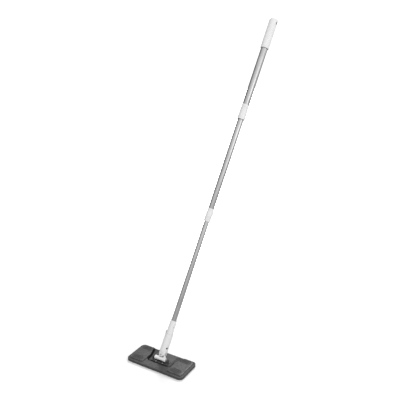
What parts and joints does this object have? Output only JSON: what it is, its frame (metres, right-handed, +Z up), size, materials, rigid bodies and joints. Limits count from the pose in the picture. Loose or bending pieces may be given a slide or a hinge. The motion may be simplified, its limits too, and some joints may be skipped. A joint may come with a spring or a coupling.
{
  "type": "flat mop",
  "caption": "Flat mop with a low rectangular head, washable pad, two-way tilting joint and a telescopic pole held by twist locks.",
  "frame": {"origin": "centre of the pad's underside, on the floor", "axes": "+X along the head's long side, +Y towards the head's back, where the pole leans, +Z up"},
  "size_m": [0.322, 0.5469, 1.2042],
  "materials": {
    "pad_fabric": "grey microfibre terry",
    "hook_tape": "woven tape with plastic hooks",
    "foam": "closed-cell foam",
    "edge_rubber": "soft matte rubber",
    "gripper_rubber": "soft matte rubber",
    "head_plastic": "fine moulded texture",
    "white_plastic": "satin white moulding",
    "grip_plastic": "satin white moulding",
    "dark_button": "matte moulding",
    "bush_plastic": "natural nylon",
    "tube_aluminium": "satin anodised, fine lengthwise lines",
    "steel": "plated steel"
  },
  "bodies": {
    "handle": {"grip": "grip_plastic", "upper_tube": "tube_aluminium", "upper_collet": "bush_plastic"},
    "upper_nut": {"upper_lock_nut": "white_plastic"},
    "middle_stage": {"middle_tube": "tube_aluminium", "middle_tube_bush": "bush_plastic", "lower_collet": "bush_plastic"},
    "lower_nut": {"lower_lock_nut": "white_plastic", "lower_nut_ring": "white_plastic"},
    "lower_stage": {"lower_tube": "tube_aluminium", "lower_tube_bush": "bush_plastic", "pole_adapter": "white_plastic", "adapter_pin": "steel", "head_socket": "white_plastic", "tilt_rivet": "steel", "button_spring": "steel"},
    "button": {"snap_button": "dark_button"},
    "tee": {"t_joint": "white_plastic"},
    "head": {"base_plate": "head_plastic", "foam_sole": "foam", "hook_strips": "hook_tape", "edge_bumper": "edge_rubber", "top_cover": "head_plastic", "sheet_grippers": "gripper_rubber", "cover_screws": "steel", "axle_bracket": "head_plastic", "bracket_screws": "steel", "barrel_axle": "steel"},
    "pad": {"microfibre_pad": "pad_fabric"}
  },
  "joints": [
    {"name": "upper_lock_turn", "type": "hinge", "parent": "handle", "child": "upper_nut", "pos_m": [0.13613, 0.35104, 0.87472], "axis": [0.1478, 0.3705, 0.917], "range_deg": [0, 60]},
    {"name": "middle_slide", "type": "slide", "parent": "handle", "child": "middle_stage", "axis": [0.1478, 0.3705, 0.917], "range_m": [0, 0.27]},
    {"name": "lower_lock_turn", "type": "hinge", "parent": "middle_stage", "child": "lower_nut", "pos_m": [0.07834, 0.20617, 0.51618], "axis": [0.1478, 0.3705, 0.917], "range_deg": [0, 60]},
    {"name": "lower_slide", "type": "slide", "parent": "middle_stage", "child": "lower_stage", "axis": [0.1478, 0.3705, 0.917], "range_m": [0, 0.32]},
    {"name": "button_press", "type": "slide", "parent": "lower_stage", "child": "button", "axis": [-0.8812, 0.4703, -0.048], "range_m": [0, 0.0042], "stiffness_N_per_m": 600, "springref_m": -0.002, "deforming": ["button_spring"]},
    {"name": "side_tilt", "type": "hinge", "parent": "lower_stage", "child": "tee", "pos_m": [0, 0.00981, 0.03017], "axis": [0, -0.9272, 0.3746], "range_deg": [-58.5, 41.5]},
    {"name": "head_pitch", "type": "hinge", "parent": "tee", "child": "head", "pos_m": [0, -0.004, 0.02], "axis": [-1, 0, 0], "range_deg": [-26, 97]},
    {"name": "pad_slide", "type": "slide", "parent": "head", "child": "pad", "axis": [0, 0, -1], "range_m": [0, 0.03]}
  ]
}
